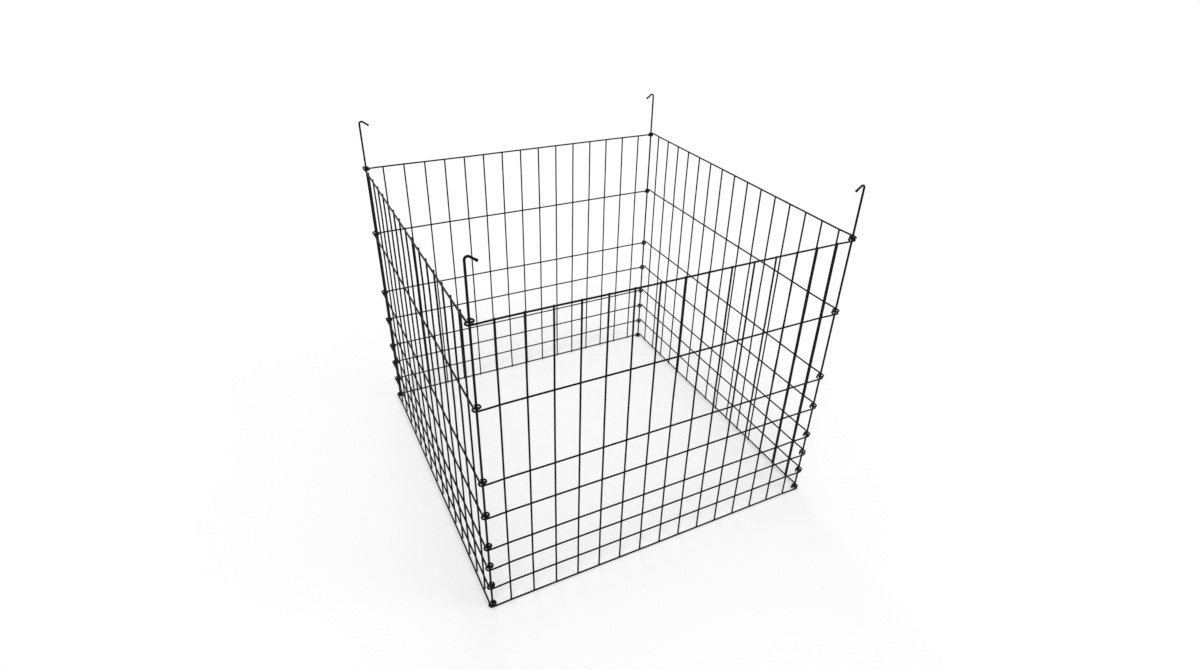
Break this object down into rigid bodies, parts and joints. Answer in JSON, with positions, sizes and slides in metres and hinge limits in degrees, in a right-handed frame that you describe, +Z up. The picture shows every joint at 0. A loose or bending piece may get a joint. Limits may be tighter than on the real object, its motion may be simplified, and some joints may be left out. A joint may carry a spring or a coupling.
{
  "type": "wire compost bin",
  "caption": "Square open bin of welded wire panels whose looped wire ends turn on hooked corner rods, for holding garden compost in a heap.",
  "frame": {"origin": "middle of the bin on the ground, halfway between the four rods", "axes": "+Z up, -Y towards the front panel, +X towards the right panel as seen from the front"},
  "size_m": [0.9208, 0.9208, 0.8944],
  "materials": {
    "panel_coat": "black vinyl coating over steel wire, satin",
    "rod_coat": "black vinyl coating over steel rod, satin, a little glossier than the panels"
  },
  "bodies": {
    "back_panel": {"back_frame": "panel_coat", "back_level_wire_2": "panel_coat", "back_level_wire_3": "panel_coat", "back_level_wire_4": "panel_coat", "back_level_wire_5": "panel_coat", "back_level_wire_6": "panel_coat", "back_level_wire_7": "panel_coat"},
    "left_panel": {"left_frame": "panel_coat", "left_level_wire_2": "panel_coat", "left_level_wire_3": "panel_coat", "left_level_wire_4": "panel_coat", "left_level_wire_5": "panel_coat", "left_level_wire_6": "panel_coat", "left_level_wire_7": "panel_coat"},
    "right_panel": {"right_frame": "panel_coat", "right_level_wire_2": "panel_coat", "right_level_wire_3": "panel_coat", "right_level_wire_4": "panel_coat", "right_level_wire_5": "panel_coat", "right_level_wire_6": "panel_coat", "right_level_wire_7": "panel_coat"},
    "front_panel": {"front_frame": "panel_coat", "front_level_wire_2": "panel_coat", "front_level_wire_3": "panel_coat", "front_level_wire_4": "panel_coat", "front_level_wire_5": "panel_coat", "front_level_wire_6": "panel_coat", "front_level_wire_7": "panel_coat"},
    "front_left_rod": {"front_left_rod": "rod_coat"},
    "front_right_rod": {"front_right_rod": "rod_coat"},
    "back_left_rod": {"back_left_rod": "rod_coat"},
    "back_right_rod": {"back_right_rod": "rod_coat"}
  },
  "joints": [
    {"name": "left_panel_fold", "type": "hinge", "parent": "back_panel", "child": "left_panel", "pos_m": [-0.45, 0.45, 0], "axis": [0, 0, 1], "range_deg": [-85, 85]},
    {"name": "right_panel_fold", "type": "hinge", "parent": "back_panel", "child": "right_panel", "pos_m": [0.45, 0.45, 0], "axis": [0, 0, 1], "range_deg": [-85, 85]},
    {"name": "front_panel_fold", "type": "hinge", "parent": "left_panel", "child": "front_panel", "pos_m": [-0.45, -0.45, 0], "axis": [0, 0, 1], "range_deg": [-85, 85]},
    {"name": "front_left_rod_lift", "type": "slide", "parent": "front_panel", "child": "front_left_rod", "axis": [0, 0, 1], "range_m": [-0.1165, 0.78]},
    {"name": "front_right_rod_lift", "type": "slide", "parent": "front_panel", "child": "front_right_rod", "axis": [0, 0, 1], "range_m": [-0.1165, 0.78]},
    {"name": "back_left_rod_lift", "type": "slide", "parent": "back_panel", "child": "back_left_rod", "axis": [0, 0, 1], "range_m": [-0.1165, 0.78]},
    {"name": "back_right_rod_lift", "type": "slide", "parent": "back_panel", "child": "back_right_rod", "axis": [0, 0, 1], "range_m": [-0.1165, 0.78]}
  ],
  "couplings": [
    {"joint": "right_panel_fold", "follows": "left_panel_fold", "ratio": 1},
    {"joint": "front_panel_fold", "follows": "left_panel_fold", "ratio": -1}
  ]
}
